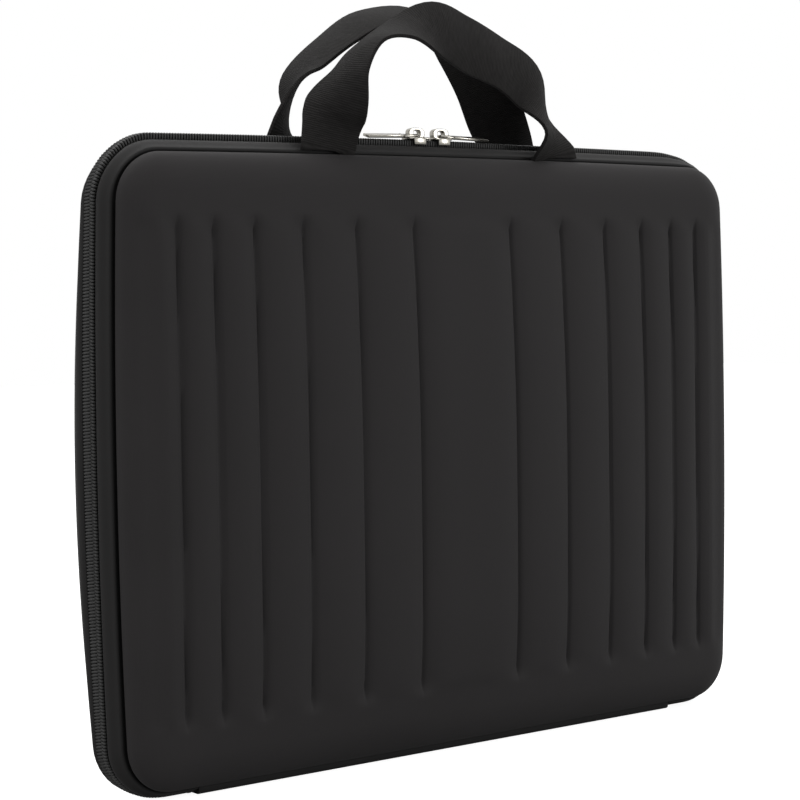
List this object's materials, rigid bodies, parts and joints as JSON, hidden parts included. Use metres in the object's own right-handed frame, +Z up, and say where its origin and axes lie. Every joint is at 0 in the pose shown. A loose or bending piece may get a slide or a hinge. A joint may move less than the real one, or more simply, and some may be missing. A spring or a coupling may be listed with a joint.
{
  "type": "laptop hard case",
  "caption": "Slim zip-around hard laptop case of two ribbed moulded shells on a fabric hinge spine, with twin webbing handles and a two-slider zip.",
  "frame": {"origin": "middle of the underside of the spine, between the two halves", "axes": "+Z up, +X along the long side to the right seen from the front, front panel facing -Y"},
  "size_m": [0.4168, 0.0676, 0.3869],
  "materials": {
    "shell_fabric": "fine woven fabric laminated on moulded foam",
    "band_fabric": "smooth woven fabric",
    "spine_fabric": "woven fabric",
    "lining_fabric": "brushed knit",
    "binding_tape": "woven tape",
    "zip_tape": "woven tape",
    "zip_coil": "nylon coil",
    "zip_metal": "polished nickel plate",
    "webbing": "ribbed webbing",
    "elastic": "ribbed elastic",
    "pocket_mesh": "fine mesh"
  },
  "bodies": {
    "rear_half": {"rear_shell": "shell_fabric", "rear_lining": "lining_fabric", "rear_side_band": "band_fabric", "rear_seam_binding": "binding_tape", "rear_zip_tape": "zip_tape", "rear_zip_coil": "zip_coil", "rear_zip_end_stops": "zip_metal", "rear_spine": "spine_fabric", "laptop_corner_straps": "elastic"},
    "front_half": {"front_shell": "shell_fabric", "front_lining": "lining_fabric", "front_side_band": "band_fabric", "front_seam_binding": "binding_tape", "front_zip_tape": "zip_tape", "front_zip_coil": "zip_coil", "front_zip_end_stops": "zip_metal", "front_spine": "spine_fabric", "front_pocket": "pocket_mesh", "front_pocket_edge": "elastic"},
    "front_handle": {"front_handle": "webbing"},
    "rear_handle": {"rear_handle": "webbing"},
    "left_slider": {"left_slider": "zip_metal"},
    "right_slider": {"right_slider": "zip_metal"},
    "left_pull": {"left_pull": "zip_metal"},
    "right_pull": {"right_pull": "zip_metal"}
  },
  "joints": [
    {"name": "case_opening", "type": "hinge", "parent": "rear_half", "child": "front_half", "pos_m": [0, 0, -0.0003], "axis": [1, 0, 0], "range_deg": [0, 180]},
    {"name": "front_handle_swing", "type": "hinge", "parent": "front_half", "child": "front_handle", "pos_m": [0, -0.015, 0.3117], "axis": [1, 0, 0], "range_deg": [0, 105]},
    {"name": "rear_handle_swing", "type": "hinge", "parent": "rear_half", "child": "rear_handle", "pos_m": [0, 0.015, 0.3117], "axis": [-1, 0, 0], "range_deg": [0, 105]},
    {"name": "left_slider_run", "type": "slide", "parent": "rear_half", "child": "left_slider", "axis": [-1, 0, 0], "range_m": [0, 0.15]},
    {"name": "right_slider_run", "type": "slide", "parent": "rear_half", "child": "right_slider", "axis": [1, 0, 0], "range_m": [0, 0.16]},
    {"name": "left_pull_flip", "type": "hinge", "parent": "left_slider", "child": "left_pull", "pos_m": [-0.013, 0, 0.31825], "axis": [0, 1, 0], "range_deg": [0, 100]},
    {"name": "right_pull_flip", "type": "hinge", "parent": "right_slider", "child": "right_pull", "pos_m": [0.003, 0, 0.31825], "axis": [0, -1, 0], "range_deg": [0, 100]}
  ]
}
